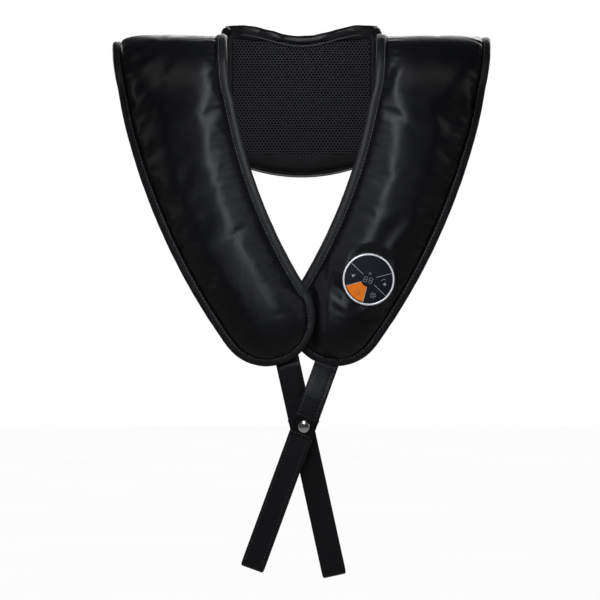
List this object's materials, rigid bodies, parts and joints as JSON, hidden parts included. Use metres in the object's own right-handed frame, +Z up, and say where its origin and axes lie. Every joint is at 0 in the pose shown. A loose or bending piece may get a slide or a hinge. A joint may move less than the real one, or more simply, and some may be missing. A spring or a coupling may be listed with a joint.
{
  "type": "shiatsu neck massager",
  "caption": "Padded yoke with a worm-driven kneading unit, two crossing chest lapels, a round control panel and two snap-closed hand straps.",
  "frame": {"origin": "centre of the flat rear face of the collar, which lies on the wearer's neck side away from the skin or on a chair back", "axes": "+X towards the wearer's left, +Y out of the flat rear face, +Z up"},
  "size_m": [0.434, 0.2062, 0.6293],
  "materials": {
    "pu_leather": "satin",
    "foam": "matte",
    "spacer_mesh": "matte",
    "pale_moulding": "matte",
    "black_plastic": "matte",
    "steel": "satin",
    "brass": "satin",
    "ivory_nylon": "satin",
    "head_shell": "satin",
    "circuit_board": "satin",
    "lamp_red": "gloss",
    "cable_rubber": "matte",
    "bright_ring": "gloss",
    "panel_navy": "gloss",
    "power_orange": "gloss",
    "nickel": "polished"
  },
  "bodies": {
    "yoke": {"back_cushion": "foam", "back_cover": "pu_leather", "mesh_panel": "spacer_mesh", "yoke_binding": "pu_leather", "left_shoulder_pad": "pu_leather", "right_shoulder_pad": "pu_leather", "back_plate": "pale_moulding", "plate_screws": "steel", "gearbox_base": "pale_moulding", "gearbox_cover": "pale_moulding", "gearbox_screws": "steel", "spindle_bushes": "brass", "motor_can": "steel", "motor_end_cap": "black_plastic", "heat_lamp_board": "circuit_board", "heat_lamps": "lamp_red", "thermal_cutout": "pale_moulding", "yoke_loom": "cable_rubber", "dc_jack": "black_plastic"},
    "worm_shaft": {"motor_shaft": "steel", "worm": "brass"},
    "left_kneader": {"left_worm_wheel": "ivory_nylon", "left_spindle": "steel", "left_arm": "steel", "left_arm_pins": "steel"},
    "right_kneader": {"right_worm_wheel": "ivory_nylon", "right_spindle": "steel", "right_arm": "steel", "right_arm_pins": "steel"},
    "left_large_ball": {"left_large_head": "head_shell"},
    "left_small_ball": {"left_small_head": "head_shell"},
    "right_large_ball": {"right_large_head": "head_shell"},
    "right_small_ball": {"right_small_head": "head_shell"},
    "left_lapel": {"left_lapel_cushion": "pu_leather", "left_lapel_binding": "pu_leather", "panel_housing": "black_plastic", "panel_bezel": "bright_ring", "panel_fascia": "panel_navy", "display_module": "black_plastic", "control_board": "circuit_board", "tact_switches": "black_plastic", "board_screws": "steel", "lapel_loom": "cable_rubber"},
    "right_lapel": {"right_lapel_cushion": "pu_leather", "right_lapel_binding": "pu_leather"},
    "power_button": {"power_key": "power_orange"},
    "up_button": {"up_key": "panel_navy"},
    "down_button": {"down_key": "panel_navy"},
    "heat_button": {"heat_key": "panel_navy"},
    "left_hand_strap": {"left_strap": "pu_leather", "left_snap_stud": "nickel"},
    "left_hand_loop": {"left_strap_tail": "pu_leather", "left_snap_cap": "nickel", "left_snap_socket": "nickel"},
    "right_hand_strap": {"right_strap": "pu_leather", "right_snap_stud": "nickel"},
    "right_hand_loop": {"right_strap_tail": "pu_leather", "right_snap_cap": "nickel", "right_snap_socket": "nickel"}
  },
  "joints": [
    {"name": "worm_spin", "type": "hinge", "parent": "yoke", "child": "worm_shaft", "pos_m": [0, -0.0245, 0], "axis": [0, 0, 1], "continuous": true},
    {"name": "left_kneader_spin", "type": "hinge", "parent": "yoke", "child": "left_kneader", "pos_m": [0.038, -0.0245, 0], "axis": [0, 1, 0], "continuous": true},
    {"name": "right_kneader_spin", "type": "hinge", "parent": "yoke", "child": "right_kneader", "pos_m": [-0.038, -0.0245, 0], "axis": [0, 1, 0], "continuous": true},
    {"name": "left_large_head_spin", "type": "hinge", "parent": "left_kneader", "child": "left_large_ball", "pos_m": [0.049, -0.0245, 0.01905], "axis": [0, 1, 0], "continuous": true},
    {"name": "left_small_head_spin", "type": "hinge", "parent": "left_kneader", "child": "left_small_ball", "pos_m": [0.028, -0.0245, -0.01732], "axis": [0, 1, 0], "continuous": true},
    {"name": "right_large_head_spin", "type": "hinge", "parent": "right_kneader", "child": "right_large_ball", "pos_m": [-0.049, -0.0245, 0.01905], "axis": [0, 1, 0], "continuous": true},
    {"name": "right_small_head_spin", "type": "hinge", "parent": "right_kneader", "child": "right_small_ball", "pos_m": [-0.028, -0.0245, -0.01732], "axis": [0, 1, 0], "continuous": true},
    {"name": "left_lapel_lift", "type": "hinge", "parent": "yoke", "child": "left_lapel", "pos_m": [0, -0.102, 0.08], "axis": [-1, 0, 0], "range_deg": [0, 60]},
    {"name": "right_lapel_lift", "type": "hinge", "parent": "yoke", "child": "right_lapel", "pos_m": [0, -0.102, 0.08], "axis": [-1, 0, 0], "range_deg": [0, 60]},
    {"name": "power_press", "type": "slide", "parent": "left_lapel", "child": "power_button", "axis": [0, 1, 0], "range_m": [0, 0.0005], "stiffness_N_per_m": 400},
    {"name": "up_press", "type": "slide", "parent": "left_lapel", "child": "up_button", "axis": [0, 1, 0], "range_m": [0, 0.0005], "stiffness_N_per_m": 400},
    {"name": "down_press", "type": "slide", "parent": "left_lapel", "child": "down_button", "axis": [0, 1, 0], "range_m": [0, 0.0005], "stiffness_N_per_m": 400},
    {"name": "heat_press", "type": "slide", "parent": "left_lapel", "child": "heat_button", "axis": [0, 1, 0], "range_m": [0, 0.0005], "stiffness_N_per_m": 400},
    {"name": "left_strap_swing", "type": "hinge", "parent": "left_lapel", "child": "left_hand_strap", "pos_m": [0.0269, -0.1765, -0.2985], "axis": [-0.9391, 0, 0.3437], "range_deg": [0, 60]},
    {"name": "left_loop_open", "type": "hinge", "parent": "left_hand_strap", "child": "left_hand_loop", "pos_m": [-0.05558, -0.1903, -0.52388], "axis": [0.9391, 0, -0.3437], "range_deg": [0, 120]},
    {"name": "right_strap_swing", "type": "hinge", "parent": "right_lapel", "child": "right_hand_strap", "pos_m": [-0.0143, -0.1875, -0.2985], "axis": [0.9769, 0, 0.2139], "range_deg": [0, 40]},
    {"name": "right_loop_open", "type": "hinge", "parent": "right_hand_strap", "child": "right_hand_loop", "pos_m": [0.03703, -0.1737, -0.53295], "axis": [-0.9769, 0, -0.2139], "range_deg": [0, 120]}
  ],
  "couplings": [
    {"joint": "worm_spin", "follows": "left_kneader_spin", "ratio": -50},
    {"joint": "right_kneader_spin", "follows": "left_kneader_spin", "ratio": -1},
    {"joint": "right_lapel_lift", "follows": "left_lapel_lift", "ratio": 1}
  ]
}
